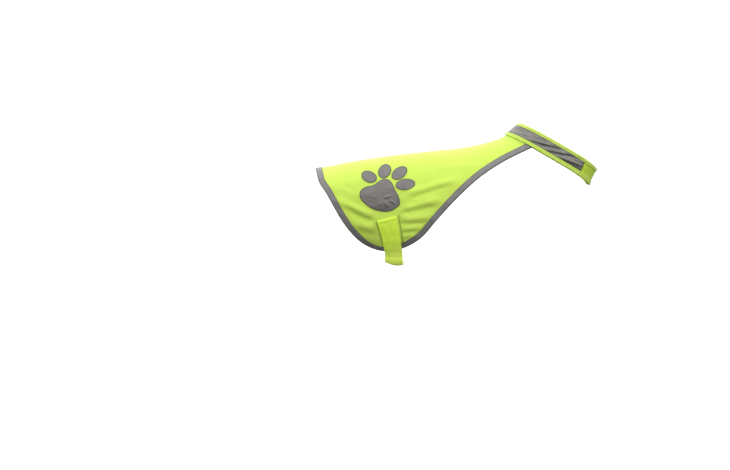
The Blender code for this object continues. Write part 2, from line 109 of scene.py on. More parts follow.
# --- the belly strap ---
STRAP_WIDE = 38.0
STRAP_SPREAD, STRAP_SPREAD_LONG = 5.0, 70.0  # how much wider its sewn end is, and over what length
STRAP_THICK = 1.2
STRAP_TOP = (-51.6, -141.2)  # the middle of its sewn end, seen from the side
STRAP_UNDER = -32.0  # station at the underside
# Length from the sewn end, and the strap's middle surface outside the panel's, or outside the figure. The
# end is turned under. The strap then lies on the panel, steps over the binding, hangs clear of the figure
# and goes under it in a flat loop.
STRAP_LAY = (
    (8, 1.65), (0.5, 1.65), (-1.2, 2.4), (0.5, 3.15), (2.5, 3.7), (5.5, 2.9), (9, 3.05), (28, 1.75),
    (34, 1.75), (51, 3.25), (78, 4), (88, 7), (95, 10.4), (102, 12.3), (108, 11), (116, 8),
    (126, 5.5), (134, 4), (145, 3),
)
STRAP_SEWN_ROWS = 12  # rows of that table down to where it hangs
STRAP_OVERLAP = 38.0  # how far each half runs past the middle
STRAP_OVER, STRAP_RISE = 5.2, 24.0  # how far the outer half climbs, and over what length
STRAP_CUP, STRAP_TILT, STRAP_CUP_LONG = 6.0, 2.0, 30.0  # its free part bends in and tilts, over this length
STRAP_STEP = 2.5
STRAP_STEEP = 3.0  # rows of the table that lie closer than this are joined by straight lines
STRAP_CELLS_ACROSS = 22
STRAP_EDGE_RISE, STRAP_EDGE_WIDE = 0.4, 1.6  # of its turned side edges
STRAP_STITCH_ROWS, STRAP_STITCH_REACH = (3.2, 5.6), 16.5  # their lengths from its sewn end, half their run
STRAP_STITCH_LAY = 3.15  # as in the table
# Soft creases of its upper part, as the folds below, but across and along the strap.
STRAP_CREASES = (
    (-9, 4, -3, 58, 1, 2.6, 0.6, 0.15, 0.4),
    (-3, 3, 4, 36, -1, 2.4, -0.5, 0.2, 0.5),
    (8, 3, 11, 44, 1, 2.6, 0.5, 0.15, 0.5),
    (2, 52, 9, 84, 1, 2.8, -0.5, 0.3, 0.3),
    (-12, 60, -6, 92, 0, 2.6, 0.5, 0.3, 0.3),
)

PATCH_THICK = 1.0
PATCH_GAP = 0.6
PATCH_INSET = 4.0
PATCH_STITCH_IN = 1.5
PATCH_CELLS, PATCH_CELLS_ACROSS = 30, 8

# --- the paw motif ---
PAD_THICK = 0.6
PAD_LAY = 1.25
PAD_DIP = 0.35  # how deep its troughs may be
PAD_RINGS, PAD_SIDES = 24, 144
PAD_EYE = 0.04  # size of its innermost ring
# Name, middle seen from the side (x, z), half length, half width, degrees that it is turned.
TOES = (
    ("toe_rear", -89, -50.5, 17, 12.2, -22),
    ("toe_upper", -55.5, -38.5, 16, 12.8, 52),
    ("toe_front", -23.8, -42.5, 18.8, 11.8, 35),
    ("toe_low", -11, -66.8, 21, 12, 7),
)
PALM = (-64.0, -94.0)
PALM_TURN = -20.0
# Degrees round its middle, and the distance to its outline there.
PALM_OUTLINE = (
    (0, 44), (45, 34.5), (90, 41), (140, 30), (190, 46), (232, 34), (278, 29.5), (322, 35.4),
    (360, 44),
)

# --- folds ---
# Seen from the side, on the right (-1) and left (1). Each row has the start and end of the fold's line
# (x, z, x, z), how far that line arches up, its half width, its height, which is negative in a trough, and
# the shares of its length over which it fades in and out.
FOLDS = {
    -1: (
        (-174, -92, -78, -137.5, -2, 9, 4.3, 0.45, 0.15),
        (-154, -112, -78, -151, -2, 8, -3.2, 0.5, 0.15),
        (-136, -146, -76, -165.5, 1, 8.5, 2.8, 0.5, 0.15),
        (-12, -88.5, 116, -54.5, 1, 9.5, 3.2, 0.15, 0.3),
        (-15, -121.5, 78, -95.5, 1, 9.5, 4.4, 0.15, 0.4),
        (-16, -143.5, 56, -132.5, -1, 8.5, 4, 0.15, 0.4),
        (-18, -164.5, 32, -158.5, 1, 5.5, 2.6, 0.25, 0.3),
        (-20, -180.5, 12, -175.5, 1, 4.5, 2.2, 0.25, 0.3),
    ),
    1: (
        (-164, -96, -78, -140, 2, 9, 4, 0.45, 0.15),
        (-146, -124, -78, -156, -2, 8, -2.8, 0.5, 0.15),
        (-12, -97, 106, -66, 1, 9, 3, 0.15, 0.3),
        (-18, -124.1, 66, -104, 2, 9, 4.2, 0.15, 0.4),
        (-16, -148.5, 50, -140, 1, 8, 3.4, 0.15, 0.4),
        (-20, -168.5, 26, -162, 1, 5.5, 2.4, 0.25, 0.3),
    ),
}
# The finer folds.
FINE_FOLDS = {
    -1: (
        (40, -34, 156, -25, 1, 6, 0.9, 0.3, 0.3),
        (-8, -97, 108, -63, 1, 5, -2.3, 0.3, 0.4),
        (-26, -130.5, 66, -110, 1, 5, -3.2, 0.2, 0.4),
        (-30, -151.5, 48, -147, 0, 4.5, -3, 0.2, 0.4),
        (-24, -170, 18, -166.5, 0, 3.5, -2.4, 0.2, 0.4),
        (-22, -185.5, 2, -181, 1.5, 3, -1.2, 0.3, 0.3),
        (-19, -190.5, -6, -185, 1.5, 2.5, 0.9, 0.3, 0.3),
        (-8, -104, 60, -92, 0, 4, 0.7, 0.3, 0.4),
        (-152, -62, -106, -84, -3, 5, -0.7, 0.4, 0.4),
        (-124, -72, -104, -104, 0, 5, 0.6, 0.4, 0.4),
        (-146, -74, -112, -104, 2, 5, 0.5, 0.4, 0.4),
        (-150, -110.5, -78, -146.5, -1, 5.5, -3.4, 0.4, 0.15),
        (-142, -134, -78, -156.5, 1, 5.5, 0.4, 0.4, 0.2),
        (-120, -166, -66, -181, 2, 8, -1.8, 0.4, 0.2),
    ),
    1: (
        (30, -38, 138, -30, 1, 6, 0.8, 0.3, 0.3),
        (-10, -105.5, 98, -74.5, 1, 5, -2.1, 0.3, 0.4),
        (-28, -133, 56, -112.5, 1, 5, -2.8, 0.2, 0.4),
        (-28, -157.5, 44, -148.5, 0, 4.5, -2.6, 0.2, 0.4),
        (-24, -176, 12, -170.5, 0, 3.5, -1.3, 0.3, 0.3),
        (-146, -64, -104, -90, -3, 6, -0.7, 0.4, 0.4),
        (-144, -116, -78, -148.5, -1, 5, -2.8, 0.4, 0.15),
        (-138, -138, -78, -164, 1, 5.5, 0.6, 0.4, 0.2),
        (-116, -168, -66, -184, 2, 7, -1.6, 0.4, 0.2),
    ),
}
# Where the strap presses the panel down beside its edges, on both sides.
TUCKS = (
    (-26.4, -131, -15, -198, 0, 2.4, -1.6, 0.08, 0.1),
    (-74, -145, -58.6, -199, 0, 2.4, -1.6, 0.08, 0.1),
)
TUCK_SHADE_WIDE, TUCK_SHADE, TUCK_DARK = 2.6, 0.8, 0.3  # painted shade: the knit is painted darker there, standing for the shadow beside the strap's edges
SMOOTH_BACK = (-20.0, 60.0)  # ripples begin below this height, and are full so much further down
# Wrinkles of the neck band: start and end of the line (degrees, distance up from the band's lower edge),
# half width and height.
WRINKLES = (
    (-22, 11, -52, 19, 1.8, 1.9),
    (-40, 7, -82, 22.5, 2.1, 2.6),
    (-75, 7.5, -118, 24, 1.9, 2.5),
    (-98, 6.5, -147, 19, 2.2, 2.6),
    (-7, 16.5, -56, 32, 3.2, -1.6),
    (-36, 13, -84, 32, 2.6, -1.5),
    (-54, 7, -118, 33, 3, -2.1),
    (-88, 9, -147, 34.5, 3, -2.1),
    (-108, 6, -146, 6.5, 2, -1),
    (-118, 20.5, -143, 27, 1.4, 0.7),
    (20, 9, 58, 21, 2.2, 2),
    (52, 8, 92, 22, 2.2, 2.2),
    (86, 8, 134, 20, 2.2, 2.2),
    (12, 15, 56, 31, 2.4, -1.2),
    (36, 7, 94, 29, 2.2, -1.4),
    (72, 8, 132, 32, 2.2, -1.4),
    (104, 6.5, 142, 8, 2, -0.9),
)
WRINKLE_FADE = 0.3  # the share of its length over which each fades in, and out
WRINKLE_ROUND = 0.85  # the radius to turn degrees into lengths, as a share of the half height
# Creases of the pads, in the columns of the folds.
PAD_CREASES = {
    -1: (
        (-60, -97, -37, -92, 1.5, 2.4, 1.1, 0.3, 0.5),
        (-53, -100, -36, -107, 1, 1.6, -0.35, 0.2, 0.3),
        (-49, -101, -30, -111.5, 2, 2.6, 1.2, 0.3, 0.4),
        (-56, -101, -46, -116, -1.5, 3, 0.9, 0.3, 0.4),
        (-58, -104, -74, -112, 1.5, 3, 0.5, 0.4, 0.5),
        (-54, -90, -62, -76, 1, 3, 0.5, 0.4, 0.5),
        (-96, -106, -60, -116, 3, 3, -0.35, 0.3, 0.3),
        (-88, -92, -70, -100, 2, 2.6, 0.6, 0.4, 0.4),
        (-60, -66, -42, -72, 0, 2.6, -0.5, 0.3, 0.3),
    ),
    1: (
        (-100, -98, -58, -90, 2, 2.4, 0.7, 0.3, 0.3),
        (-72, -92, -52, -114, 0, 2.2, -0.8, 0.3, 0.3),
        (-58, -66, -40, -74, 0, 2.6, -0.5, 0.3, 0.3),
    ),
}
# Soft unevenness of the panel: wave length, direction along x and z in degrees, phase, height.
RIPPLES = (
    (46, 70, 0.4, 0.22),
    (31, 104, 2.1, 0.16),
    (23, 82, 4.4, 0.09),
    (64, 20, 1.3, 0.2),
)

# --- sewing ---
STITCH_LONG, STITCH_PITCH = 2.3, 3.1
STITCH_RADIUS = 0.24
STITCH_SIDES, STITCH_RINGS = 6, 4
STITCH_THIN = 0.02  # square of the girth at its ends
STITCH_LIFT = 0.05  # of its middle above the cloth
STITCH_REACH = 0.8  # lengths before and after its middle that give its direction

# --- looks ---
FLUO = (0.585, 0.79, 0.105)
FLUO_BAND = (0.45, 0.63, 0.03)
FLUO_STRAP = (0.62, 0.84, 0.055)
FLUO_GLOW, STRAP_GLOW = 0.03, 0.13  # painted glow: emission stands in for the fluorescent cloth giving back a little more light than falls on it; on the strap it is stronger, painted light that brightens it
FLUO_THREAD = (0.45, 0.58, 0.03)
GREY = (0.20, 0.194, 0.186)
GREY_STRIP = (0.175, 0.17, 0.155)
GREY_FILM = (0.15, 0.143, 0.136)
GREY_THREAD = (0.16, 0.155, 0.15)
KNIT_ROW, KNIT_RIB, KNIT_LEAN = 0.9, 1.1, 2.2
NECK_SEAM = (3.2, 1.2)  # how far in the stitches of the neck band's bindings lie, and half their groove, which is painted darker as painted shade
NECK_SEAM_SHADE, NECK_SEAM_DARK = 0.85, 0.35
HEM_LINES = ((0.0, 1.6), (12.3, 1.8))  # the same for the lines of painted shade along both edges of the hem's binding
HEM_LINE_SHADE, HEM_LINE_DARK = 0.6, 0.3
STRAP_FREE, STRAP_PAINTED_LIGHT = (66.0, 92.0), (0.78, 1.0, 0.13)  # lengths from its sewn end, and the paler colour painted there: painted light on the part that hangs free
FILM_RIM = 2.2  # how far in the pads are darker: painted shade along their rim

# --- the photograph's view ---
PIXEL = 2.15  # millimetres, at the vest's near side
PICTURE = (730, 470)
ORIGIN_PIXEL = (410.5, 153.5)  # where the frame's origin shows
NEAR_SIDE = -60.0  # y of the vest's near side
LENS, SENSOR = 500.0, 36.0
CLIP_END = 100.0  # metres
FLOOR_Z = -640.0
FLOOR_SIZE, FLOOR_WHITE = 60.0, 0.9  # its side in metres, and its colour
# The sky's brightness low down and high up, and the heights of the direction between which it changes.
SKY_BELOW, SKY_ABOVE, SKY_FADE = 0.22, 1.75, (-0.2, 0.5)
BACKDROP, BACKDROP_FADE = 0.9, (0.03, 0.07)  # the same for a bright strip along the horizon


def spline(knots, values):
    """A smooth curve through a table: cubic pieces with matched slopes, and straight past its ends."""
    slopes = np.gradient(values, knots)

    def at(x):
        x = np.asarray(x, float)
        i = np.clip(np.searchsorted(knots, x) - 1, 0, len(knots) - 2)
        held = np.clip(x, knots[0], knots[-1])
        span = knots[i + 1] - knots[i]
        t = (held - knots[i]) / span
        return (
            values[i] * (1 + 2 * t) * (1 - t) ** 2
            + values[i + 1] * t**2 * (3 - 2 * t)
            + slopes[i] * span * t * (1 - t) ** 2
            - slopes[i + 1] * span * t**2 * (1 - t)
            + (x - held) * np.where(x < held, slopes[0], slopes[-1])
        )

    return at


FIGURE_X, *PROFILES = np.array(FIGURE).T
SPINE_Z, LEAN, HALF_HEIGHT, HALF_WIDTH = (spline(FIGURE_X, values) for values in PROFILES)


def unit(v):
    return v / np.linalg.norm(v, axis=-1, keepdims=True)


def eased(t):
    t = np.clip(t, 0.0, 1.0)
    return t * t * (3 - 2 * t)


def hump(off, half_wide):
    """A soft hump, 1 at its middle."""
    return np.exp(-((off / half_wide) ** 2))


def figure(station, angle):
    """Points of the figure."""
    station, angle = np.broadcast_arrays(np.asarray(station, float), np.asarray(angle, float))
    lean = np.radians(LEAN(station))
    high, wide = HALF_HEIGHT(station), HALF_WIDTH(station)
    power = SQUARENESS
    reach = (np.abs(np.cos(angle) / high) ** power + np.abs(np.sin(angle) / wide) ** power) ** (-1 / power)
    up = reach * np.cos(angle) - high
    return np.stack(
        (station - up * np.sin(lean), reach * np.sin(angle), SPINE_Z(station) + up * np.cos(lean)), -1
    )


def normal_of(surface, station, angle):
    """Outward normals of a surface, by small steps along it."""
    along = surface(station + 0.1, angle) - surface(station - 0.1, angle)
    round_it = surface(station, angle + 1e-3) - surface(station, angle - 1e-3)
    return unit(np.cross(along, round_it))


def line_rise(off_x, off_z, rows):
    """Height of soft ridges and troughs along short lines, at places of a flat picture."""
    total = np.zeros(np.shape(off_x))
    for x, z, x_end, z_end, bow, half_wide, rise, start, stop in rows:
        long = math.hypot(x_end - x, z_end - z)
        ahead_x, ahead_z = (x_end - x) / long, (z_end - z) / long
        t = ((off_x - x) * ahead_x + (off_z - z) * ahead_z) / long
        across = (off_z - z) * ahead_x - (off_x - x) * ahead_z - 4 * bow * t * (1 - t)
        total += rise * eased(t / start) * eased((1 - t) / stop) * hump(across, half_wide)
    return total


def fold_rise(point):
    """How far the folds and ripples lift the cloth at points of the figure."""
    x, y, z = point[..., 0], point[..., 1], point[..., 2]
    total = np.zeros(x.shape)
    for side in (-1, 1):
        total += (y * side > 0) * line_rise(x, z, FOLDS[side] + FINE_FOLDS[side])
    top, depth = SMOOTH_BACK
    low = eased((top - z) / depth)
    for long, direction, phase, rise in RIPPLES:
        a = math.radians(direction)
        along = (x * math.cos(a) + z * math.sin(a)) / long
        total += low * rise * np.sin(2 * math.pi * along + phase + np.sign(y))
    return total


def cloth(station, angle):
    """Points of the cloth's middle surface."""
    plain = figure(station, angle)
    return plain + fold_rise(plain)[..., None] * normal_of(figure, station, angle)


def raised(station, angle, out):
    """Points that far outside the cloth's middle surface, and the normals there."""
    normals = normal_of(cloth, station, angle)
    return cloth(station, angle) + np.asarray(out)[..., None] * normals, normals


def from_side(x, z, side):
    """Stations and angles of the figure's points that show at x, z from one side. side is -1 or 1."""
    x, z = np.broadcast_arrays(np.asarray(x, float), np.asarray(z, float))
    station, angle = x.copy(), np.full(x.shape, math.radians(70.0) * side)
    for _ in range(40):
        here = figure(station, angle)
        by_station = (figure(station + 0.1, angle) - here) / 0.1
        by_angle = (figure(station, angle + 1e-3) - here) / 1e-3
        miss_x, miss_z = x - here[..., 0], z - here[..., 2]
        (p, _, q), (r, _, s) = (np.moveaxis(way, -1, 0) for way in (by_station, by_angle))
        scale = p * s - q * r
        station = station + np.clip((miss_x * s - miss_z * r) / scale, -25.0, 25.0)
        turn = (miss_z * p - miss_x * q) / scale
        angle = side * np.clip(side * (angle + np.clip(turn, -0.3, 0.3)), 0.05, 3.0)
    return station, angle


def beside(station, angle, distance):
    """Stations and angles at a distance from a line on the figure, to the left as it is followed."""
    ahead = unit(np.gradient(figure(station, angle), axis=0))
    left = distance * np.cross(normal_of(figure, station, angle), ahead)
    by_station = figure(station + 0.5, angle) - figure(station - 0.5, angle)
    by_angle = (figure(station, angle + 5e-4) - figure(station, angle - 5e-4)) / 1e-3
    a, b, c = (np.sum(u * v, -1) for u, v in (
        (by_station, by_station), (by_station, by_angle), (by_angle, by_angle)
    ))
    p, q = np.sum(left * by_station, -1), np.sum(left * by_angle, -1)
    return station + (p * c - q * b) / (a * c - b * b), angle + (q * a - p * b) / (a * c - b * b)


# --- meshes ---


def lengths(points, axis):
    """Distance run along one axis of a grid of points, starting from 0."""
    steps = np.linalg.norm(np.diff(points, axis=axis), axis=-1)
    pad = [(0, 0), (0, 0)]
    pad[axis] = (1, 0)
    return np.cumsum(np.pad(steps, pad), axis=axis)


def run_along(line):
    """The same along one line of points."""
    return lengths(line[None], 1)[0]


def mesh_from(name, points, faces):
    mesh = bpy.data.meshes.new(name)
    mesh.from_pydata(points.reshape(-1, 3) * MM, [], faces)
    return mesh


def add_uv(mesh, name, corners):
    """A UV map in millimetres, from two numbers for each corner of each face."""
    layer = mesh.uv_layers.new(name=name)
    layer.data.foreach_set("uv", corners.ravel().astype(np.float32))


def piece_from(name, mesh, material, node, thick=None):
    """A piece of a mesh. thick: of the wall that the mesh is the middle of."""
    mesh.materials.append(material)
    mesh.shade_smooth()
    piece = bpy.data.objects.new(name, mesh)
    bpy.context.scene.collection.objects.link(piece)
    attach(piece, "root")
    if node:
        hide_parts(node)
    if thick:
        wall = piece.modifiers.new("Wall", "SOLIDIFY")
        wall.thickness = thick * MM
        wall.offset = 0.0
    return piece


def sheet(node, points, thick, material, name=None):
    """A cloth piece from a grid of middle points, (rows, columns, 3).

    Its UV map holds millimetres along and across the cloth.
    """
    index = np.arange(points[..., 0].size).reshape(points.shape[:2])
    faces = np.stack((index[:-1, :-1], index[:-1, 1:], index[1:, 1:], index[1:, :-1]), -1).reshape(-1, 4)
    name = name or f"{node}_cloth"
    mesh = mesh_from(name, points, faces.tolist())
    flat = np.stack((lengths(points, 1), lengths(points, 0)), -1).reshape(-1, 2)
    add_uv(mesh, "cloth", flat[faces.ravel()])
    return piece_from(name, mesh, material, node, thick)


def fold_over(station, angle, inner_station, inner_angle, lay, surface, groove=0.0):
    """Middle points of a binding folded over an edge: the outer leg, the turn and the inner leg. groove: how
    far its stitches draw it in."""
    rows = []
    legs = np.linspace(1.0, 0.0, 11 if groove else 6)
    for side, shares in ((1, legs), (-1, legs[::-1])):
        for share in shares:
            s = station + share * (inner_station - station)
            a = angle + share * (inner_angle - angle)
            swell = BINDING_SWELL * math.sin(math.pi * min(1.0, 1.4 * share))
            swell -= groove * hump(share - 0.5, COLLAR_GROOVE_WIDE)
            rows.append(surface(s, a, side * (lay + swell))[0])
        if side == 1:
            edge, out = surface(station, angle, 0.0 * station)
            inside, _ = surface(inner_station, inner_angle, 0.0 * station)
            away = unit(edge - inside)
            for bend in np.radians((30.0, 60.0, 90.0, 120.0, 150.0)):
                rows.append(edge + math.sin(bend) * BINDING_TURN * away + math.cos(bend) * lay * out)
    return np.stack(rows)


# --- sewing ---


def between(at, run, rows):
    """Rows of numbers at lengths between those of a table."""
    return np.stack([np.interp(at, run, row) for row in rows.T], -1)


def stitches(name, lines, material):
    """A row of stitches along each line of points. Each line comes with its normals."""
    turns = np.linspace(0.0, 2 * math.pi, STITCH_SIDES, endpoint=False)
    ends = np.linspace(-1.0, 1.0, STITCH_RINGS + 1)
    girth = np.sqrt(np.maximum(1 - ends**4, STITCH_THIN)) * STITCH_RADIUS
    shape = (
        np.repeat(ends * STITCH_LONG / 2, STITCH_SIDES),
        np.outer(girth, np.cos(turns)).ravel(),
        np.outer(girth, np.sin(turns)).ravel(),
    )
    ring = np.arange(STITCH_SIDES)
    rings = [ring + k * STITCH_SIDES for k in range(STITCH_RINGS + 1)]
    faces = [
        (first[a], first[b], second[b], second[a])
        for first, second in zip(rings[:-1], rings[1:])
        for a, b in zip(ring, np.roll(ring, -1))
    ]
    caps = [ring[::-1], rings[-1]]
    points, quads, tops, done = [], [], [], 0
    for line, normals in lines:
        run = run_along(line)
        count = max(2, int(run[-1] / STITCH_PITCH))
        at = (np.arange(count) + 0.5) * run[-1] / count
        out = unit(between(at, run, normals))
        ahead = unit(between(at + STITCH_REACH, run, line) - between(at - STITCH_REACH, run, line))
        placed = between(at, run, line)[:, None]
        for off, way in zip(shape, (ahead, unit(np.cross(out, ahead)), out)):
            placed = placed + off[:, None] * way[:, None]
        points.append(placed.reshape(-1, 3))
        for base in done + np.arange(count) * len(shape[0]):
            quads += [tuple(int(base + i) for i in face) for face in faces]
            tops += [tuple(int(base + i) for i in cap) for cap in caps]
        done += count * len(shape[0])
    return piece_from(name, mesh_from(name, np.vstack(points), quads + tops), material, None)


# --- materials ---


def assign(tree, socket, value):
    """Links a socket, or sets its constant. A colour has three numbers."""
    if isinstance(value, bpy.types.NodeSocket):
        tree.links.new(value, socket)
    else:
        socket.default_value = (*value, 1.0) if isinstance(value, tuple) else value


def add_node(tree, kind, inputs, **settings):
    """The outputs of a new node. inputs: values or sockets, by name or number."""
    node = tree.nodes.new(kind)
    for name, value in settings.items():
        setattr(node, name, value)
    for key, value in inputs.items():
        assign(tree, node.inputs[key], value)
    return node.outputs


class Nodes:
    """Short ways to add nodes to a material."""

    def __init__(self, name):
        self.material = bpy.data.materials.new(name)
        self.material.use_nodes = True
        self.tree = self.material.node_tree
        self.shader = self.tree.nodes["Principled BSDF"].inputs
        self.along, self.across, _ = self.uv_map("cloth")
        coordinates = self.add("TexCoord", {})
        self.place, self.facing = coordinates["Object"], coordinates["Normal"]

    def add(self, kind, inputs, **settings):
        return add_node(self.tree, f"ShaderNode{kind}", inputs, **settings)

    def set(self, **values):
        """Constants of the shader's sockets."""
        for name, value in values.items():
            assign(self.tree, self.shader[name.replace("_", " ")], value)

    def axes(self, vector):
        """The three numbers of a vector."""
        return tuple(self.add("SeparateXYZ", {0: vector}))

    def uv_map(self, name):
        return self.axes(self.add("UVMap", {}, uv_map=name)["UV"])

    def math(self, operation, a, b=0.0):
        return self.add("Math", {0: a, 1: b}, operation=operation)[0]

    def times(self, a, b):
        return self.math("MULTIPLY", a, b)

    def plus(self, a, b):
        return self.math("ADD", a, b)

    def minus(self, a, b):
        return self.math("SUBTRACT", a, b)

    def clamped(self, value):
        """The value, held between 0 and 1."""
        return self.math("MINIMUM", self.math("MAXIMUM", value, 0.0), 1.0)

    def wave(self, place, pitch, shift=0.0):
        """A wave from 0 to 1 along a length, with that pitch in millimetres."""
        turned = self.plus(self.times(place, 2 * math.pi / pitch), shift)
        return self.math("MULTIPLY_ADD", self.math("SINE", turned), 0.5)

    def noise(self, scale, detail=3.0):
        inputs = {"Vector": self.place, "Scale": scale, "Detail": detail, "Roughness": 0.55}
        return self.add("TexNoise", inputs)[0]

    def near(self, place, middle, half_wide):
        """1 where a length is at the middle, and 0 beyond that distance from it."""
        off = self.math("DIVIDE", self.math("ABSOLUTE", self.minus(place, middle)), half_wide)
        return self.clamped(self.minus(1.0, off))

    def line(self, x, z, x_end, z_end, half_wide):
        """1 on a line seen from the side, in millimetres, and 0 beyond that distance from it and inside."""
        at_x, at_y, at_z = self.axes(self.place)
        outwards = self.math("GREATER_THAN", self.times(at_y, self.axes(self.facing)[1]))
        long = math.hypot(x_end - x, z_end - z)
        ahead_x, ahead_z = (x_end - x) / long, (z_end - z) / long
        along, across = (
            self.plus(
                self.plus(self.times(at_x, by_x / MM / scale), self.times(at_z, by_z / MM / scale)),
                -(x * by_x + z * by_z) / scale,
            )
            for by_x, by_z, scale in ((ahead_x, ahead_z, long), (-ahead_z, ahead_x, half_wide))
        )
        ends = self.clamped(self.times(self.times(along, self.minus(1.0, along)), 20.0))
        return self.times(self.times(self.near(across, 0.0, 1.0), ends), outwards)

    def ramp(self, share, low, high):
        """A colour that runs from low to high as a share goes from 0 to 1."""
        return self.add("Mix", {0: share, 6: low, 7: high}, data_type="RGBA")[2]

    def finish(self, colour, *bumps):
        """The material, with layers of bumps. Each is a height from 0 to 1 and its depth in millimetres."""
        assign(self.tree, self.shader["Base Color"], colour)
        normal = None
        for height, depth in bumps:
            inputs = {"Strength": 1.0, "Distance": depth * MM, "Height": height}
            if normal:
                inputs["Normal"] = normal
            normal = self.add("Bump", inputs)["Normal"]
        if normal:
            assign(self.tree, self.shader["Normal"], normal)
        return self.material


def scaled(colour, factor):
    return tuple(min(1.0, c * factor) for c in colour)


def knit_material():
    """Bright tricot knit: fine ribs of loops, each leaning from its row to the next."""
    n = Nodes("fluo_knit_looks")
    n.set(Roughness=0.85, Specular_IOR_Level=0.3, Sheen_Weight=0.45, Sheen_Roughness=0.4)
    # Painted glow: a faint emission in the knit's own colour.
    n.set(Sheen_Tint=(0.9, 1.0, 0.8), Emission_Color=FLUO, Emission_Strength=FLUO_GLOW)
    lean = n.times(n.wave(n.along, KNIT_ROW), KNIT_LEAN)
    loops = n.times(n.wave(n.across, KNIT_RIB), n.wave(n.along, KNIT_ROW, lean))
    plain = n.ramp(n.noise(22.0), scaled(FLUO, 0.93), scaled(FLUO, 1.05))
    # Painted shade: thin darker lines on the knit beside the strap's edges, in place of their shadow.
    painted_contact_shade = 0.0
    for x, z, x_end, z_end, *_ in TUCKS:
        painted_contact_shade = n.plus(n.line(x, z, x_end, z_end, TUCK_SHADE_WIDE), painted_contact_shade)
    colour = n.ramp(n.times(painted_contact_shade, TUCK_SHADE), plain, scaled(FLUO, TUCK_DARK))
    return n.finish(colour, (n.noise(160.0), 0.25), (loops, 0.16))


def band_material(name, colour, rib=1.0, glow=FLUO_GLOW, seam=None, painted_light_span=None):
    """Woven fluorescent band: crossing threads and a slightly firmer face than the knit."""
    n = Nodes(name)
    # Painted glow: emission in the band's own colour, stronger on the strap.
    n.set(Roughness=0.72, Sheen_Weight=0.15, Emission_Color=colour, Emission_Strength=glow)
    weave = n.times(n.wave(n.across, rib), n.wave(n.along, rib * 0.8))
    plain = n.ramp(n.noise(35.0), scaled(colour, 0.92), scaled(colour, 1.06))
    if seam:  # painted shade in the groove along its stitches
        shade = n.times(n.near(n.across, *seam), NECK_SEAM_SHADE)
        plain = n.ramp(shade, plain, scaled(colour, NECK_SEAM_DARK))
    if painted_light_span:  # painted light: the part that hangs free is painted paler, standing for the light it catches
        start, stop = painted_light_span
        hangs = n.clamped(n.math("DIVIDE", n.minus(n.across, start), stop - start))
        plain = n.ramp(hangs, plain, STRAP_PAINTED_LIGHT)
    return n.finish(plain, (n.noise(190.0), 0.3), (weave, 0.14))


def tape_material(name, colour, grain=0.10, rough=0.42, metallic=0.25, lines=()):
    """Grey reflective fabric: tiny glass beads on a fine weave, a little metallic, uneven in tone."""
    n = Nodes(name)
    n.set(Roughness=rough, Metallic=metallic, Specular_IOR_Level=0.45)
    weave = n.times(n.wave(n.across, 0.55), n.wave(n.along, 0.55))
    plain = n.ramp(n.noise(60.0, 4.0), scaled(colour, 0.82), scaled(colour, 1.22))
    # Painted shade: darker lines across the tape at the given places, along the binding's edges.
    for line in lines:
        shade = n.times(n.near(n.across, *line), HEM_LINE_SHADE)
        plain = n.ramp(shade, plain, scaled(colour, HEM_LINE_DARK))
    return n.finish(plain, (n.noise(240.0), 0.22), (weave, grain))


def film_material():
    """Reflective transfer film: smoother than the tape, with the knit's loops faintly showing through, and
    darker at its rim, where shade is painted along its edge."""
    n = Nodes("reflective_film_looks")
    n.set(Roughness=0.38, Metallic=0.45, Specular_IOR_Level=0.5)
    # Painted shade: the pads are painted darker towards their rim.
    inside = n.math("MINIMUM", n.math("DIVIDE", n.uv_map("rim")[0], FILM_RIM), 1.0)
    uneven = n.math("MULTIPLY_ADD", n.noise(45.0, 4.0), 0.9)
    light = n.times(n.math("POWER", inside, 2.0), uneven)
    colour = n.ramp(light, scaled(GREY_FILM, 0.45), scaled(GREY_FILM, 1.15))
    return n.finish(colour, (n.noise(120.0, 2.0), 0.5), (n.noise(900.0), 0.05))


def fuzzy_material():
    """Hook and loop: a dense pile."""
    n = Nodes("hook_loop_looks")
    n.set(Roughness=0.95, Sheen_Weight=0.6)
    pile = n.noise(1500.0, 2.0)
    return n.finish(n.ramp(pile, scaled(FLUO_BAND, 0.55), scaled(FLUO_BAND, 0.95)), (pile, 0.5))


def thread_material(name, colour):
    n = Nodes(name)
    n.set(Roughness=0.6, Sheen_Weight=0.2)
    return n.finish(n.ramp(n.noise(900.0), scaled(colour, 0.8), scaled(colour, 1.1)))


# --- the panel ---


def collar_station(angle, up):
    """Station on the neck band at a distance up from its lower edge, at an angle round it."""
    probe = COLLAR_LOW + 10.0
    stretch = np.linalg.norm(figure(probe + 1.0, angle) - figure(probe, angle), axis=-1)
    return COLLAR_LOW + (COLLAR_LIFT * (1 - np.cos(angle) ** COLLAR_DIP) + up) / stretch


def hem_line(side, count):
    """Stations and angles along one side's cut edge, from the rear corner to the neck band."""
    x, z = np.array(HEM).T
    run = np.concatenate(([0.0], np.cumsum(np.hypot(np.diff(x), np.diff(z)))))
    at = np.linspace(0.0, run[-1], count)
    return from_side(spline(run, x)(at), spline(run, z)(at), side)


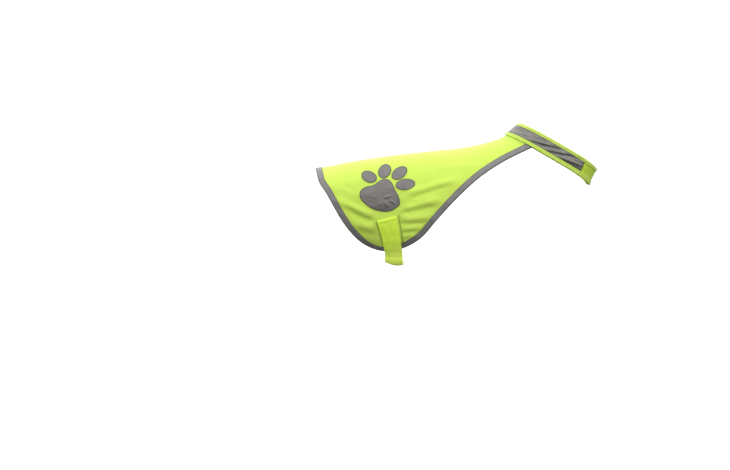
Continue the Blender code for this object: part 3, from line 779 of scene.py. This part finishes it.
def panel_coordinates():
    """Stations and angles of the panel's grid: rows across it, rear edge first, columns right to left."""
    rows, columns = PANEL_ROWS, PANEL_COLUMNS
    share = np.abs(np.linspace(-1.0, 1.0, 2 * columns + 1))
    spine = np.linspace(PANEL_REAR, COLLAR_LOW - SEAM_SHOWN, rows)[:, None]
    first = np.arange(2 * columns + 1) < columns
    hem_station, hem_angle = (
        np.where(first, right[:, None], left[:, None])
        for right, left in zip(hem_line(-1, rows), hem_line(1, rows))
    )
    station = spine + (hem_station - spine) * share**2
    angle = hem_angle * share
    # The last rows run in under the neck band, whose lower edge they follow.
    blend = (np.arange(rows) - PANEL_STRAIGHT * rows) / ((1 - PANEL_STRAIGHT) * rows)
    close = station > COLLAR_LOW - PANEL_TURNING
    station += eased(blend)[:, None] * (collar_station(angle, -SEAM_SHOWN) - station) * close
    ups = np.linspace(-SEAM_SHOWN, COLLAR_TUCK, 4)[1:]
    tucked = np.stack([collar_station(angle[-1], up) for up in ups])
    return np.vstack((station, tucked)), np.vstack((angle, np.repeat(angle[-1:], len(ups), 0)))


def rim_line():
    """Stations and angles along the cut edge: right side to the rear, over the back, left side forward."""
    right, left = (hem_line(side, 400) for side in (-1, 1))
    share = np.linspace(-1.0, 1.0, 120)[1:-1]
    rear = (PANEL_REAR + (right[0][0] - PANEL_REAR) * share**2, abs(right[1][0]) * share)
    station, angle = (np.concatenate((r[::-1], m, l)) for r, m, l in zip(right, rear, left))
    run = run_along(figure(station, angle))
    even = np.linspace(0.0, run[-1], int(run[-1] / BINDING_STEP))
    spread = np.exp(-np.linspace(-2.0, 2.0, 4 * BINDING_SMOOTH + 1) ** 2)
    pad = len(spread) // 2
    lines = []
    for values in (station, angle):
        line = np.interp(even, run, values)
        line[pad:-pad] = np.convolve(line, spread / spread.sum(), "same")[pad:-pad]
        lines.append(line)
    return lines


def build_panel(looks):
    station, angle = panel_coordinates()
    points, normals = raised(station, angle, 0.0 * station)
    points = points + line_rise(points[..., 0], points[..., 2], TUCKS)[..., None] * normals
    panel = sheet("back_panel", points, PANEL_THICK, looks["knit"], "panel_cloth")


def build_hem_binding(looks):
    station, angle = rim_line()
    inner = beside(station, angle, -BINDING_WIDE)
    points = fold_over(station, angle, *inner, BINDING_LAY, raised)
    # The join is a low bulge across the binding on the right, at the point nearest to JOIN_AT.
    x, z = JOIN_AT
    near = np.where(points[..., 1] > 0, np.inf, np.hypot(points[..., 0] - x, points[..., 2] - z))
    join = np.unravel_index(np.argmin(near), near.shape)[1]
    run = lengths(points, 1)[len(points) // 2]
    centre, out = raised(station, angle, 0.0 * station)
    lift = np.sign(np.sum((points - centre) * out, -1)) * JOIN_RISE * hump(run - run[join], JOIN_WIDE)
    points = points + lift[..., None] * out
    binding = sheet("hem_binding", points, BINDING_THICK, looks["tape"])
    share = 1 - BINDING_STITCH_IN / BINDING_WIDE
    s, a = (edge + share * (inside - edge) for edge, inside in zip((station, angle), inner))
    lay = BINDING_LAY + BINDING_THICK / 2 + STITCH_LIFT
    lines = [raised(s, a, out + 0.0 * s) for out in (lay, -lay)]
    stitches("hem_stitches", lines, looks["grey_thread"])


# --- the neck band ---


def collar_out(angle):
    """How far the band's middle lies outside the panel's: it climbs on the right, to close at the left."""
    start = 180.0 - COLLAR_OVERLAP - COLLAR_RISE
    climbed = eased((-np.degrees(angle) - start) / (COLLAR_RISE - COLLAR_RISEN))
    return COLLAR_LAY + (COLLAR_OVER - COLLAR_LAY) * climbed


def wrinkle_rise(angle, up):
    """Height of the band's wrinkles. They are longer round the band than across it."""
    around = HALF_HEIGHT(COLLAR_LOW) * WRINKLE_ROUND
    fade = (WRINKLE_FADE, WRINKLE_FADE)
    rows = [
        (math.radians(a) * around, u, math.radians(b) * around, v, 0.0, half_wide, rise, *fade)
        for a, u, b, v, half_wide, rise in WRINKLES
    ]
    return line_rise(angle * around, up, rows)


def collar_surface(angle, up, out):
    """Points of the band, at an extra distance outside its middle, and the normals there."""
    station = collar_station(angle, up)
    normals = normal_of(figure, station, angle)
    lay = collar_out(angle) + wrinkle_rise(angle, up) + out
    return figure(station, angle) + lay[..., None] * normals, normals


def collar_strip(node, start, stop, inset, out, thick, material, slot, held, under):
    """A strip round the band between two angles in degrees, inset from both of the band's edges."""
    count = max(2, int(round((stop - start) / COLLAR_STEP)))
    ups = np.linspace(inset, COLLAR_WIDE - inset, COLLAR_CELLS + 1)
    angle, up = np.meshgrid(np.radians(np.linspace(start, stop, count + 1)), ups)
    points, _ = collar_surface(angle, up, out)
    strip = sheet(node, points, thick, material)


def collar_binding(node, edge, inner, material):
    """A binding of the band, folded over its edge. Heights are from the band's lower edge. Gives the lines
    of its stitches."""
    end = 180.0 + COLLAR_OVERLAP
    angle = np.radians(np.linspace(-end, end, int(2 * end / COLLAR_STEP)))

    def surface(up, angles, out):
        return collar_surface(angles, up, out)

    ups = 0.0 * angle
    points = fold_over(
        ups + edge, angle, ups + inner, angle, COLLAR_BINDING_LAY, surface, COLLAR_GROOVE
    )
    piece = sheet(node, points, BINDING_THICK, material)
    lay = COLLAR_BINDING_LAY + BINDING_THICK / 2 - COLLAR_STITCH_SUNK
    return [collar_surface(angle, ups + (inner + edge) / 2, out + ups) for out in (lay, -lay)]


def build_collar(looks):
    end = 180.0 + COLLAR_OVERLAP
    band = ("fluo_band", "folded", "panel_cloth")
    collar_strip("collar_band", -end, end, 0.0, 0.0, COLLAR_THICK, looks["band"], *band)
    low, high = COLLAR_BINDING_WIDE, COLLAR_WIDE - COLLAR_BINDING_WIDE
    lines = collar_binding("collar_binding_lower", 0.0, low, looks["binding"])
    lines += collar_binding("collar_binding_upper", COLLAR_WIDE, high, looks["binding"])
    margin = (COLLAR_WIDE - TAPE_WIDE) / 2
    inset = COLLAR_OVERLAP - 2.0
    tape_lay = (COLLAR_THICK + TAPE_THICK) / 2 + TAPE_GAP
    patch_lay = (COLLAR_THICK + PATCH_THICK) / 2 + PATCH_GAP
    for node, start, stop, out, thick, look, slot in (
        ("collar_tape", -TAPE_REACH, TAPE_REACH, tape_lay, TAPE_THICK, "strip", "reflective"),
        ("collar_hook", -180.0 - inset, -180.0 + inset, -patch_lay, PATCH_THICK, "fuzzy", "hook_loop"),
        ("collar_loop", 180.0 - inset, 180.0 + inset, patch_lay, PATCH_THICK, "fuzzy", "hook_loop"),
    ):
        collar_strip(node, start, stop, margin, out, thick, looks[look], slot, "laid", "collar_band_cloth")
    stitches("collar_stitches", lines, looks["fluo_thread"])
    lay = tape_lay + TAPE_THICK / 2 + STITCH_LIFT
    low, high = margin + TAPE_STITCH_IN, COLLAR_WIDE - margin - TAPE_STITCH_IN
    angle = np.radians(np.linspace(-TAPE_REACH + 1.0, TAPE_REACH - 1.0, 260))
    lines = [collar_surface(angle, up + 0.0 * angle, lay + 0.0 * angle) for up in (low, high)]
    up = np.linspace(low, high, 20)
    for degrees in (-TAPE_REACH + 1.2, TAPE_REACH - 1.2):
        lines.append(collar_surface(math.radians(degrees) + 0.0 * up, up, lay + 0.0 * up))
    stitches("tape_stitches", lines, looks["grey_thread"])


# --- the belly strap ---


def strap_line(side):
    """A function from the length along one half's middle line to its station and angle, and the length
    to the middle of the underside."""
    station, angle = from_side(*STRAP_TOP, side)
    station, angle = float(station), abs(float(angle))
    angles = np.linspace(angle - 0.1, math.pi + 0.7, 400)
    sunk = (math.cos(angle) - np.cos(angles)) / (math.cos(angle) + 1.0)
    stations = station + (STRAP_UNDER - station) * sunk
    along = run_along(figure(stations, angles * side))
    along -= np.interp(angle, angles, along)

    def at(length):
        return np.interp(length, along, stations), side * np.interp(length, along, angles)

    return at, float(np.interp(math.pi, angles, along))


def strap_lay(run, middle, over):
    """The lay of a half's hanging part, the same on both sides of the middle, and over more where it lies
    outside the other half."""
    along, out = np.array(STRAP_LAY[STRAP_SEWN_ROWS - 1:]).T
    lay = spline(along, out)(np.minimum(run, 2 * middle - run))
    return lay + over * eased((run - (middle - STRAP_OVERLAP - STRAP_RISE)) / STRAP_RISE)


def strap_points(line, side, middle, along, outs, acrosses):
    """Points and normals of a strip along a strap's middle line: a row for each length."""
    smooth = np.linspace(min(along) - 1.0, max(along) + 1.0, 400)
    spread = 1 + STRAP_SPREAD / STRAP_WIDE * (1 - np.clip(smooth / STRAP_SPREAD_LONG, 0.0, 1.0)) ** 2
    from_hem = np.minimum(along, 2 * middle - along) - STRAP_LAY[STRAP_SEWN_ROWS - 1][0]
    hangs = eased(from_hem / STRAP_CUP_LONG)
    points, normals = [], []
    for across in acrosses:
        ahead = -side * across / (STRAP_WIDE / 2)
        inset = hangs * (STRAP_CUP * ahead**2 - STRAP_TILT * ahead)
        station, angle = beside(*line(smooth), across * spread[:, None])
        station, angle = (np.interp(along, smooth, values) for values in (station, angle))
        edge = STRAP_EDGE_RISE * hump(STRAP_WIDE / 2 - abs(across), STRAP_EDGE_WIDE)
        crease = line_rise(across + 0.0 * along, along, STRAP_CREASES)
        row, out = raised(station, angle, outs - inset + edge + crease)
        points.append(row)
        normals.append(out)
    return np.stack(points, 1), np.stack(normals, 1)


def strap_course(middle, over):
    """Lengths along a half and its lay at each, from the turned-in end to the closing end."""
    table = np.array(STRAP_LAY[:STRAP_SEWN_ROWS])
    fine = [table[0]]
    for start, stop in zip(table[:-1], table[1:]):
        long = abs(stop[0] - start[0])
        for t in np.linspace(0.0, 1.0, max(2, int(long / STRAP_STEP)) + 1)[1:]:
            shares = np.array((t, eased(t) if long > STRAP_STEEP else t))
            fine.append(start + shares * (stop - start))
    along, outs = np.array(fine).T
    end = middle + STRAP_OVERLAP
    rest = np.linspace(along[-1], end, int((end - along[-1]) / STRAP_STEP) + 1)[1:]
    return np.concatenate((along, rest)), np.concatenate((outs, strap_lay(rest, middle, over)))


def build_straps(looks):
    patch_lay = (STRAP_THICK + PATCH_THICK) / 2 + PATCH_GAP
    lay = STRAP_THICK / 2 + STITCH_LIFT
    wide, reach = STRAP_WIDE / 2 - PATCH_INSET, STRAP_OVERLAP - PATCH_INSET
    lines = []
    for name, side, over, patch, inwards in (
        ("strap_right", -1, STRAP_OVER, "strap_hook", -1),
        ("strap_left", 1, 0.0, "strap_loop", 1),
    ):
        line, middle = strap_line(side)
        along, outs = strap_course(middle, over)
        acrosses = np.linspace(-STRAP_WIDE / 2, STRAP_WIDE / 2, STRAP_CELLS_ACROSS + 1)
        points, _ = strap_points(line, side, middle, along, outs, acrosses)
        half = sheet(name, points, STRAP_THICK, looks["strap"])
        along = middle + np.linspace(-reach, reach, PATCH_CELLS + 1)
        outs = strap_lay(along, middle, over) + inwards * patch_lay
        acrosses = np.linspace(-wide, wide, PATCH_CELLS_ACROSS + 1)
        points, _ = strap_points(line, side, middle, along, outs, acrosses)
        strip = sheet(patch, points, PATCH_THICK, looks["fuzzy"])
        across = np.linspace(-STRAP_STITCH_REACH, STRAP_STITCH_REACH, 30)
        for start in STRAP_STITCH_ROWS:
            along = np.array([start, start + 0.1])
            row, out = strap_points(line, side, middle, along, STRAP_STITCH_LAY + lay + 0.0 * along, across)
            lines.append((row[0], out[0]))
        run = middle + np.linspace(-reach + PATCH_STITCH_IN, reach - PATCH_STITCH_IN, 60)
        outs = strap_lay(run, middle, over) - inwards * lay
        for across in (-wide + PATCH_STITCH_IN, wide - PATCH_STITCH_IN):
            row, out = strap_points(line, side, middle, run, outs, (across,))
            lines.append((row[:, 0], out[:, 0]))
    stitches("strap_stitches", lines, looks["fluo_thread"])


# --- the paw motif ---


def turned(flat, degrees):
    c, s = math.cos(math.radians(degrees)), math.sin(math.radians(degrees))
    return flat @ np.array([[c, s], [-s, c]])


def toe_outline(half_long, half_short, turn):
    around = np.linspace(0.0, 2 * math.pi, PAD_SIDES + 1)
    return turned(np.column_stack((half_long * np.cos(around), half_short * np.sin(around))), turn)


def palm_outline():
    around = np.linspace(0.0, 360.0, PAD_SIDES + 1)
    reach = spline(*np.array(PALM_OUTLINE).T)(around)
    radians = np.radians(around)
    return turned(reach[:, None] * np.column_stack((np.cos(radians), np.sin(radians))), PALM_TURN)


def pad_points(outline, middle, side):
    """A pad's rings, drawn in from its outline to its middle, laid on the panel, with its creases."""
    flat = np.asarray(middle) + np.linspace(1.0, PAD_EYE, PAD_RINGS + 1)[:, None, None] * outline
    station, angle = from_side(flat[..., 0], flat[..., 1], side)
    crease = line_rise(flat[..., 0], flat[..., 1], PAD_CREASES[side])
    return raised(station, angle, PAD_LAY + np.maximum(crease, -PAD_DIP))[0]


def build_pad(node, points, material):
    """A pad: its rings joined into a disc. Its second UV map holds how far in a point is."""
    points = points[:, :-1]
    index = np.arange(points[..., 0].size).reshape(points.shape[:2])
    nxt = np.roll(index, -1, axis=1)
    faces = np.stack((index[:-1], nxt[:-1], nxt[1:], index[1:]), -1).reshape(-1, 4).tolist()
    faces.append(index[-1].tolist())
    mesh = mesh_from(f"{node}_film", points, faces)
    corner = np.concatenate(faces)
    add_uv(mesh, "cloth", points.reshape(-1, 3)[corner][:, [0, 2]])
    inwards = np.linalg.norm(points - points[:1], axis=-1).ravel()[corner]
    add_uv(mesh, "rim", np.stack((inwards, inwards), -1))
    piece = piece_from(f"{node}_film", mesh, material, node, PAD_THICK)


def build_paws(looks):
    pads = [("palm", palm_outline(), PALM)]
    for name, x, z, half_long, half_short, turn in TOES:
        pads.append((name, toe_outline(half_long, half_short, turn), (x, z)))
    for side, word in ((-1, "right"), (1, "left")):
        for name, outline, middle in pads:
            build_pad(f"paw_{word}_{name}", pad_points(outline, middle, side), looks["film"])


# --- the studio ---


def build_floor():
    """A pale floor far below. It isn't seen by the vest's diffuse and glossy rays, as if a dark cloth lay
    under the vest, so that the shade below stays as deep as in a studio."""
    bpy.ops.mesh.primitive_plane_add(size=FLOOR_SIZE, location=(0.0, 0.0, FLOOR_Z * MM))
    floor = bpy.context.object
    floor.name = "floor"
    floor.visible_diffuse = floor.visible_glossy = False
    material = bpy.data.materials.new("floor_looks")
    material.use_nodes = True
    shader = material.node_tree.nodes["Principled BSDF"]
    shader.inputs["Base Color"].default_value = (FLOOR_WHITE, FLOOR_WHITE, FLOOR_WHITE, 1.0)
    shader.inputs["Roughness"].default_value = 0.9
    floor.data.materials.append(material)


def build_studio():
    """A wide soft sky, dim below and bright above, with a bright strip along the horizon as a backdrop."""
    world = bpy.data.worlds.new("studio")
    world.use_nodes = True
    tree = world.node_tree

    def faded(value, *numbers):
        """Runs softly between the last two numbers as the value goes between the first two."""
        inputs = dict(zip(("From Min", "From Max", "To Min", "To Max"), numbers), Value=value)
        return add_node(tree, "ShaderNodeMapRange", inputs, interpolation_type="SMOOTHSTEP")["Result"]

    way = add_node(tree, "ShaderNodeTexCoord", {})["Generated"]
    up = add_node(tree, "ShaderNodeSeparateXYZ", {0: way})["Z"]
    height = add_node(tree, "ShaderNodeMath", {0: up}, operation="ABSOLUTE")[0]
    lights = {0: faded(up, *SKY_FADE, SKY_BELOW, SKY_ABOVE), 1: faded(height, *BACKDROP_FADE, BACKDROP, 0.0)}
    background = tree.nodes["Background"].inputs
    assign(tree, background["Color"], (1.0, 1.0, 1.0))
    assign(tree, background["Strength"], add_node(tree, "ShaderNodeMath", lights, operation="ADD")[0])
    bpy.context.scene.world = world
    bpy.context.scene.view_settings.view_transform = "Standard"
    build_floor()


def build_camera():
    """Looks straight at the vest's right side. A pixel is PIXEL millimetres at the near side."""
    camera = bpy.data.cameras.new("camera")
    camera.lens, camera.sensor_width, camera.sensor_fit = LENS, SENSOR, "HORIZONTAL"
    distance = PICTURE[0] * PIXEL * LENS / SENSOR
    holder = bpy.data.objects.new("camera", camera)
    bpy.context.scene.collection.objects.link(holder)
    x = (PICTURE[0] / 2 - ORIGIN_PIXEL[0]) * PIXEL
    z = (ORIGIN_PIXEL[1] - PICTURE[1] / 2) * PIXEL
    holder.location = (x * MM, (NEAR_SIDE - distance) * MM, z * MM)
    holder.rotation_euler = (math.radians(90.0), 0.0, 0.0)
    camera.clip_end = CLIP_END
    bpy.context.scene.camera = holder


def main():
    build_camera()
    build_studio()
    looks = {
        "knit": knit_material(),
        "band": band_material("neck_band_looks", FLUO_BAND),
        "binding": band_material("neck_binding_looks", FLUO, 0.7, seam=NECK_SEAM),
        "strap": band_material("strap_looks", FLUO_STRAP, 1.2, STRAP_GLOW, painted_light_span=STRAP_FREE),
        "tape": tape_material("hem_tape_looks", GREY, lines=HEM_LINES),
        "strip": tape_material("neck_tape_looks", GREY_STRIP, 0.08, 0.3, 0.8),
        "film": film_material(),
        "fuzzy": fuzzy_material(),
        "grey_thread": thread_material("grey_thread_looks", GREY_THREAD),
        "fluo_thread": thread_material("fluo_thread_looks", FLUO_THREAD),
    }
    build_panel(looks)
    build_hem_binding(looks)
    build_collar(looks)
    build_straps(looks)
    build_paws(looks)


main()
